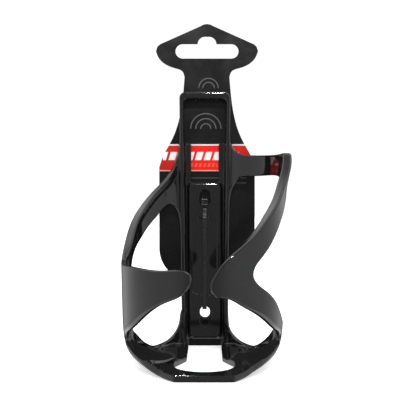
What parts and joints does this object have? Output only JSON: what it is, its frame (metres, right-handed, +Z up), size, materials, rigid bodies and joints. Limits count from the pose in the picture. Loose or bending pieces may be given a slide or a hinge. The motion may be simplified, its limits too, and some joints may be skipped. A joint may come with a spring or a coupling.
{
  "type": "bottle cage",
  "caption": "Side-entry plastic bottle cage with a channel spine, wrap-around wings and an open floor, held to a printed hang card by a cable tie.",
  "frame": {"origin": "centre of the two-slot bolt pattern, on the back face of the spine that lies against the bicycle tube", "axes": "+Z up along the spine, towards the hang card's header; -Y out of the open side, towards the bottle; +X to the right when facing the open side"},
  "size_m": [0.0842, 0.0876, 0.1788],
  "materials": {
    "cage_plastic": "high gloss, moulded black",
    "printed_card": "gloss-laminated print",
    "tie_nylon": "semi-gloss nylon"
  },
  "bodies": {
    "root": {"spine": "cage_plastic", "left_arm": "cage_plastic", "left_wing": "cage_plastic", "left_ring": "cage_plastic", "right_arm": "cage_plastic", "right_wing": "cage_plastic", "right_ring": "cage_plastic", "base_floor": "cage_plastic", "hang_card": "printed_card", "tie_strap": "tie_nylon", "tie_head": "tie_nylon"}
  },
  "joints": []
}
